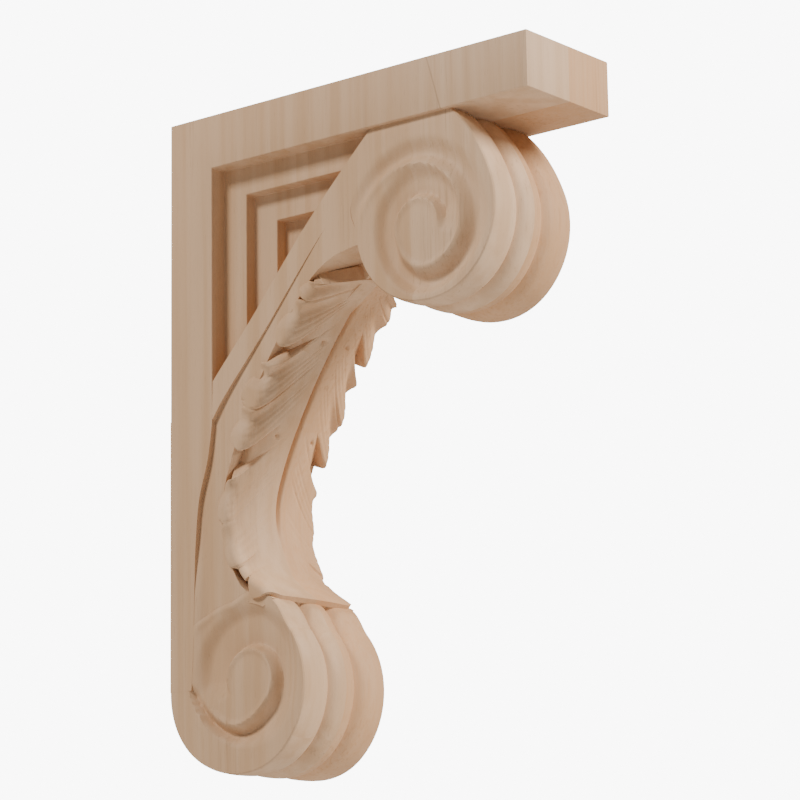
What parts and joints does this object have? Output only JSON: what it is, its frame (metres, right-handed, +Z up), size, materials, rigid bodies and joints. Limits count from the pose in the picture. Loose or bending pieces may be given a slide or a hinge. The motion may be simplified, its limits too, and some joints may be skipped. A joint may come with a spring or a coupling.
{
  "type": "corbel",
  "caption": "Carved wooden corbel bracket: a level bar on an upright leg, joined by two scrolls and a curved body with an acanthus leaf.",
  "frame": {"origin": "middle of the flat back face, which fixes to the wall or cabinet; the back lies on the plane Y = 0", "axes": "+Z up, +X across the width, and the front of the corbel looks toward -Y"},
  "size_m": [0.06, 0.208, 0.305],
  "materials": {
    "wood": "bare sanded hardwood, matte, no stain or lacquer"
  },
  "bodies": {
    "root": {"corbel": "wood"}
  },
  "joints": []
}
